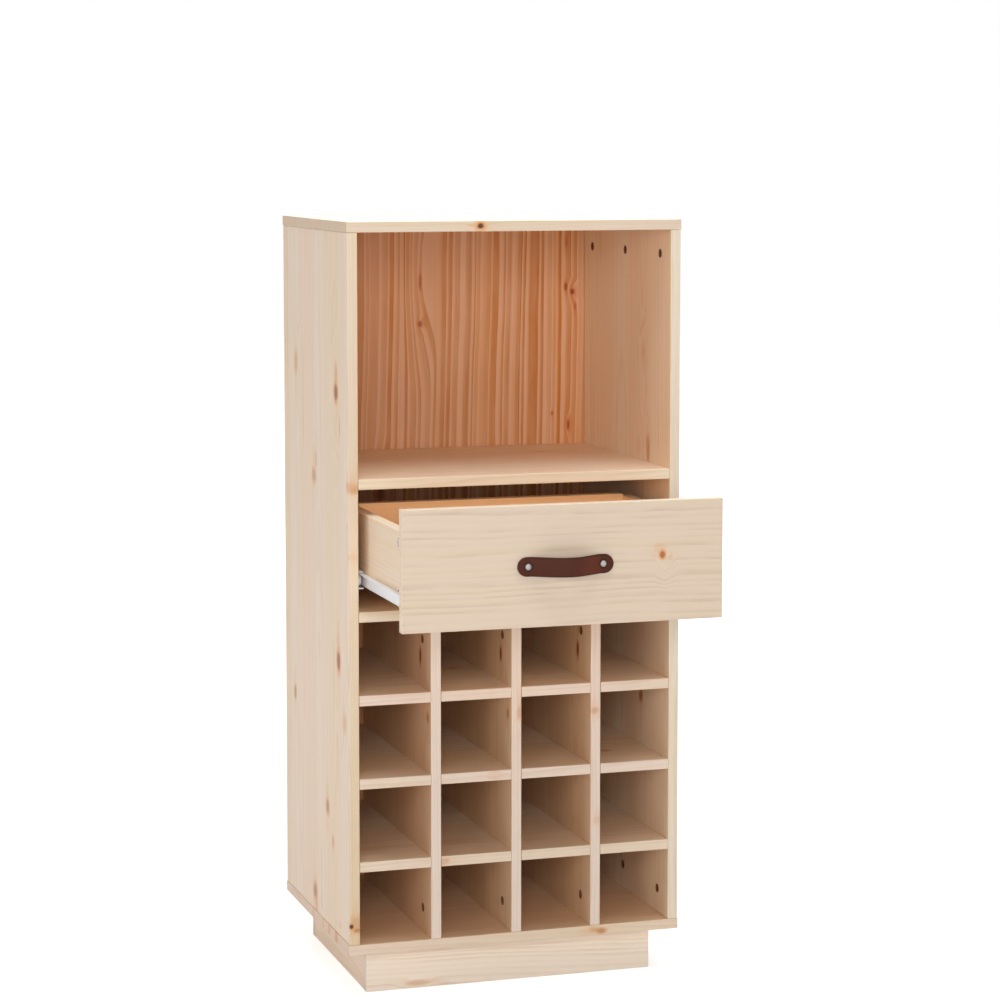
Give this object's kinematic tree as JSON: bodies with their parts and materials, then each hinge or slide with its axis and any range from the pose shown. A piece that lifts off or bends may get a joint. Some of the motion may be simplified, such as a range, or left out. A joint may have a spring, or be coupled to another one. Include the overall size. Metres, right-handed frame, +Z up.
{
  "type": "wine cabinet",
  "caption": "Tall free-standing pine cabinet with an open niche, a drawer on roller runners with a leather strap handle, and a rack of square bottle cells on a set-back plinth.",
  "frame": {"origin": "on the floor, under the middle of the whole object's box, from the handle of the pulled-out drawer to the back panel", "axes": "+Z up, the front with the drawer and the open cells faces -Y, +X to the right of someone who faces the front"},
  "size_m": [0.45, 0.569, 1],
  "materials": {
    "pine": "planed and oiled solid pine, satin",
    "pine_veneer": "pine-faced board, satin",
    "runner_enamel": "white stove enamel, semi-gloss",
    "white_nylon": "moulded, matt",
    "cam_zinc": "dark bronze lacquer, matt",
    "screw_nickel": "nickel plated",
    "strap_leather": "dark brown bridle leather, satin"
  },
  "bodies": {
    "cabinet": {"top_panel": "pine", "bottom_panel": "pine", "left_side_panel": "pine", "right_side_panel": "pine", "back_panel": "pine_veneer", "niche_shelf": "pine", "rack_top_board": "pine", "rack_shelf_lower": "pine", "rack_shelf_middle": "pine", "rack_shelf_upper": "pine", "rack_divider_left": "pine", "rack_divider_centre": "pine", "rack_divider_right": "pine", "plinth_front": "pine", "plinth_back": "pine", "plinth_left": "pine", "plinth_right": "pine", "left_cabinet_runner": "runner_enamel", "right_cabinet_runner": "runner_enamel", "left_panel_cam_upper_front": "cam_zinc", "left_panel_cam_upper_middle": "cam_zinc", "left_panel_cam_upper_rear": "cam_zinc", "left_panel_cam_lower_front": "cam_zinc", "left_panel_cam_lower_middle": "cam_zinc", "left_panel_cam_lower_rear": "cam_zinc", "right_panel_cam_upper_front": "cam_zinc", "right_panel_cam_upper_middle": "cam_zinc", "right_panel_cam_upper_rear": "cam_zinc", "right_panel_cam_lower_front": "cam_zinc", "right_panel_cam_lower_middle": "cam_zinc", "right_panel_cam_lower_rear": "cam_zinc", "divider_cam_left_upper": "cam_zinc", "divider_cam_left_lower": "cam_zinc", "divider_cam_centre_upper": "cam_zinc", "divider_cam_centre_lower": "cam_zinc", "divider_cam_right_upper": "cam_zinc", "divider_cam_right_lower": "cam_zinc", "niche_shelf_cam_left_front": "cam_zinc", "niche_shelf_cam_left_rear": "cam_zinc", "niche_shelf_cam_right_front": "cam_zinc", "niche_shelf_cam_right_rear": "cam_zinc"},
    "drawer": {"drawer_front": "pine", "drawer_left_side": "pine", "drawer_right_side": "pine", "drawer_back": "pine", "drawer_bottom": "pine_veneer", "handle_strap": "strap_leather", "handle_screw_left": "screw_nickel", "handle_screw_right": "screw_nickel", "left_drawer_runner": "runner_enamel", "right_drawer_runner": "runner_enamel", "drawer_cam_left_upper": "white_nylon", "drawer_cam_left_lower": "white_nylon", "drawer_cam_right_upper": "white_nylon", "drawer_cam_right_lower": "white_nylon"},
    "left_cabinet_roller": {"left_cabinet_roller": "white_nylon"},
    "right_cabinet_roller": {"right_cabinet_roller": "white_nylon"},
    "left_drawer_roller": {"left_drawer_roller": "white_nylon"},
    "right_drawer_roller": {"right_drawer_roller": "white_nylon"}
  },
  "joints": [
    {"name": "drawer_slide", "type": "slide", "parent": "cabinet", "child": "drawer", "axis": [0, -1, 0], "range_m": [-0.195, 0.03]},
    {"name": "left_cabinet_roller_spin", "type": "hinge", "parent": "cabinet", "child": "left_cabinet_roller", "pos_m": [-0.2057, -0.039, 0.5425], "axis": [1, 0, 0], "continuous": true},
    {"name": "right_cabinet_roller_spin", "type": "hinge", "parent": "cabinet", "child": "right_cabinet_roller", "pos_m": [0.2057, -0.039, 0.5425], "axis": [1, 0, 0], "continuous": true},
    {"name": "left_drawer_roller_spin", "type": "hinge", "parent": "drawer", "child": "left_drawer_roller", "pos_m": [-0.2033, 0.042, 0.541], "axis": [1, 0, 0], "continuous": true},
    {"name": "right_drawer_roller_spin", "type": "hinge", "parent": "drawer", "child": "right_drawer_roller", "pos_m": [0.2033, 0.042, 0.541], "axis": [1, 0, 0], "continuous": true}
  ],
  "couplings": [
    {"joint": "left_cabinet_roller_spin", "follows": "drawer_slide", "rad_per_m": 125},
    {"joint": "right_cabinet_roller_spin", "follows": "drawer_slide", "rad_per_m": 125},
    {"joint": "left_drawer_roller_spin", "follows": "drawer_slide", "rad_per_m": 125},
    {"joint": "right_drawer_roller_spin", "follows": "drawer_slide", "rad_per_m": 125}
  ]
}
